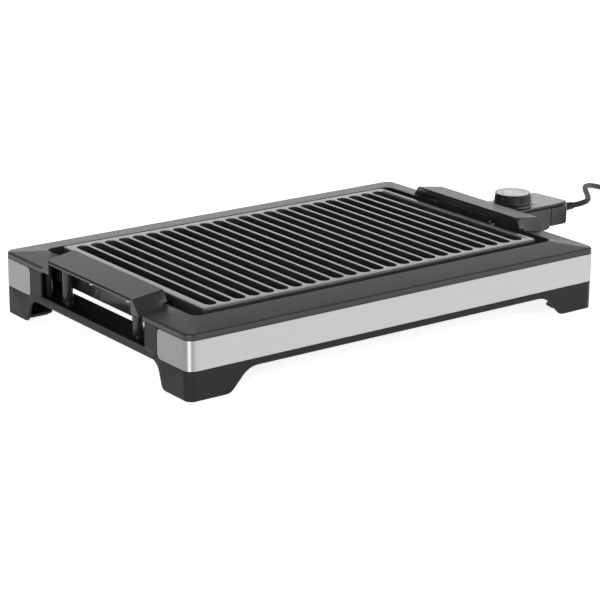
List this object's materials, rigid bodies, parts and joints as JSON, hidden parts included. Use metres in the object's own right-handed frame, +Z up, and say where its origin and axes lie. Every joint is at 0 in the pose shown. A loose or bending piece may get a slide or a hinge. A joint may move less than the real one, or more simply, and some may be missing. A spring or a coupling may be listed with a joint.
{
  "type": "electric table grill",
  "caption": "Slotted table grill plate with lift-off handles on an open frame with feet, drip tray and plug-in thermostat controller on a cord.",
  "frame": {"origin": "on the table, under the middle of the grill and its plugged-in controller taken together", "axes": "+X along the grill towards the controller, -Y the long front side, +Z up"},
  "size_m": [0.9064, 0.3524, 0.0859],
  "materials": {
    "frame_plastic": "fine spark-eroded texture",
    "deck_plastic": "satin moulded",
    "band_steel": "brushed lengthwise",
    "foot_rubber": "moulded",
    "screw_steel": "zinc plated",
    "tray_coat": "pressed sheet, grey coating",
    "plate_coat": "casting with satin dark non-stick coating",
    "sheath_steel": "oxidised sheath",
    "pin_metal": "plated",
    "ceramic": "unglazed",
    "clip_steel": "galvanised",
    "handle_plastic": "satin moulded",
    "shroud_plastic": "heat-resistant resin",
    "carrier_plastic": "heat-resistant resin",
    "contact_brass": "spring temper",
    "probe_steel": "ground",
    "case_plastic": "satin moulded",
    "switch_resin": "thermoset",
    "cam_plastic": "natural nylon",
    "lamp_glass": "neon capsule",
    "lens_red": "clear red",
    "knob_plastic": "finely ribbed",
    "dial_silver": "silver paint",
    "cord_vinyl": "satin vinyl",
    "plug_plastic": "moulded"
  },
  "bodies": {
    "base": {"front_shell": "frame_plastic", "rear_shell": "frame_plastic", "left_side_panel": "frame_plastic", "right_side_panel": "frame_plastic", "top_deck": "deck_plastic", "trim_band_front": "band_steel", "trim_band_rear": "band_steel", "foot_pads": "foot_rubber", "deck_screws": "screw_steel"},
    "tray": {"drip_tray": "tray_coat"},
    "plate": {"grill_plate": "plate_coat", "heating_element": "sheath_steel", "terminal_pins": "pin_metal", "terminal_insulators": "ceramic", "element_clips": "clip_steel", "clip_screws": "screw_steel", "left_handle": "handle_plastic", "right_handle": "handle_plastic", "handle_screws": "screw_steel", "socket_shroud": "shroud_plastic", "shroud_screws": "screw_steel"},
    "controller": {"receptacle_carrier": "carrier_plastic", "pin_receptacles": "contact_brass", "earth_spring": "clip_steel", "probe_rod": "probe_steel", "controller_lower_case": "case_plastic", "controller_upper_case": "case_plastic", "case_screws": "screw_steel", "thermostat_switch": "switch_resin", "bimetal_strip": "contact_brass", "indicator_lamp": "lamp_glass", "lamp_lens": "lens_red", "terminal_block": "switch_resin", "strain_relief": "cord_vinyl", "power_cord": "cord_vinyl", "cord_coil": "cord_vinyl", "plug_body": "plug_plastic", "plug_pins": "pin_metal"},
    "knob": {"knob_body": "knob_plastic", "knob_dial": "dial_silver", "knob_spindle": "probe_steel", "cam_disc": "cam_plastic"}
  },
  "joints": [
    {"name": "tray_lift", "type": "slide", "parent": "base", "child": "tray", "axis": [0, 0, 1], "range_m": [0, 0.06]},
    {"name": "plate_lift", "type": "slide", "parent": "tray", "child": "plate", "axis": [0, 0, 1], "range_m": [0, 0.1]},
    {"name": "controller_unplug", "type": "slide", "parent": "plate", "child": "controller", "axis": [1, 0, 0], "range_m": [0, 0.085]},
    {"name": "knob_turn", "type": "hinge", "parent": "controller", "child": "knob", "pos_m": [0.24899, 0, 0.08], "axis": [0, 0, 1], "range_deg": [-270, 0]}
  ]
}
